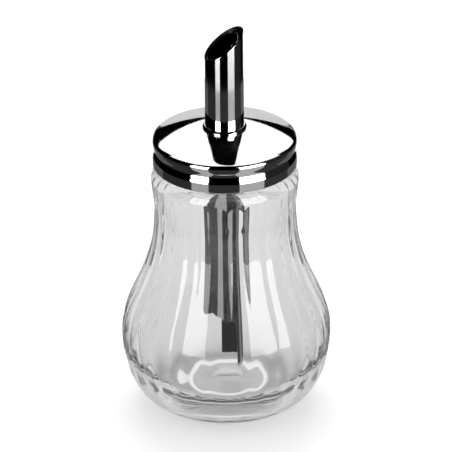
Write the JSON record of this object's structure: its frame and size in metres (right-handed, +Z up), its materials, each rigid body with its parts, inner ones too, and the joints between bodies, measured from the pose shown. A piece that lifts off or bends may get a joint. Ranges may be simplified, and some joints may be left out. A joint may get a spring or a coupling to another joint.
{
  "type": "sugar dispenser",
  "caption": "Pear-shaped fluted glass sugar jar with a domed steel screw lid and a slanted pour tube closed by a small hinged flap.",
  "frame": {"origin": "centre of the jar's flat foot, on the surface that it stands on", "axes": "+Z up along the jar's axis; +X towards the high tip of the tube's slanted mouth, so the sugar pours towards -X"},
  "size_m": [0.0798, 0.0798, 0.1562],
  "materials": {
    "clear_glass": "clear, fluted",
    "polished_steel": "mirror polished stainless steel",
    "plain_steel": "plain stainless steel",
    "seal": "soft white food-grade ring"
  },
  "bodies": {
    "jar": {"glass_jar": "clear_glass"},
    "seal": {"lid_seal": "seal"},
    "washer": {"tube_washer": "seal"},
    "lid": {"lid_cap": "polished_steel", "pour_tube": "polished_steel", "tube_collar": "polished_steel", "tube_nut": "plain_steel", "flap_ledge": "plain_steel", "hinge_pin": "plain_steel"},
    "flap": {"flap": "polished_steel"}
  },
  "joints": [
    {"name": "lid_lift", "type": "slide", "parent": "jar", "child": "seal", "axis": [0, 0, 1], "range_m": [0, 0.11]},
    {"name": "thread_rise", "type": "slide", "parent": "seal", "child": "washer", "axis": [0, 0, 1], "range_m": [0, 0.0046]},
    {"name": "lid_turn", "type": "hinge", "parent": "washer", "child": "lid", "pos_m": [0, 0, 0.105], "axis": [0, 0, 1], "range_deg": [0, 450]},
    {"name": "flap_hinge", "type": "hinge", "parent": "lid", "child": "flap", "pos_m": [0.00437, 0, 0.15184], "axis": [0, 1, 0], "range_deg": [0, 100]}
  ],
  "couplings": [
    {"joint": "thread_rise", "follows": "lid_turn", "m_per_rad": 0.000573}
  ]
}
